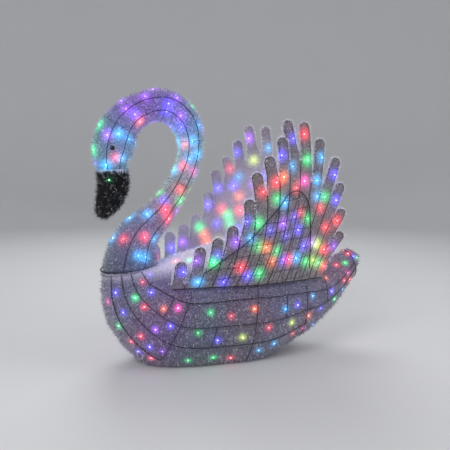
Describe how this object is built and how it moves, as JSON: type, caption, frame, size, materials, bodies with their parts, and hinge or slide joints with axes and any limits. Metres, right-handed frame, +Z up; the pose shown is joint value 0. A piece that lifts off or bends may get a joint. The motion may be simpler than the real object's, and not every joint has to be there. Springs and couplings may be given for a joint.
{
  "type": "swan display figure",
  "caption": "Standing swan display figure with an S-shaped neck, hanging head, raised feathered wings, upturned tail and a white fuzzy cover on a wire frame dotted with small coloured lights.",
  "frame": {"origin": "centre of the bounding box in plan, on the floor that the figure stands on", "axes": "+Z up, -X the way the head and chest face, +X towards the tail, -Y the swan's left side"},
  "size_m": [1.0104, 0.4506, 0.9446],
  "materials": {
    "cover": "fuzzy glittering white mesh",
    "wing": "fuzzy glittering white mesh",
    "frame_wire": "thin dark wire",
    "beak": "black tinsel with silver glints",
    "eye": "gloss black"
  },
  "bodies": {
    "root": {"body_cover": "cover", "neck_cover": "cover", "wing_left": "wing", "wing_right": "wing", "body_frame": "frame_wire", "neck_frame": "frame_wire", "wing_brace_left": "frame_wire", "wing_brace_right": "frame_wire", "beak": "beak", "eye_left": "eye", "eye_right": "eye"}
  },
  "joints": []
}
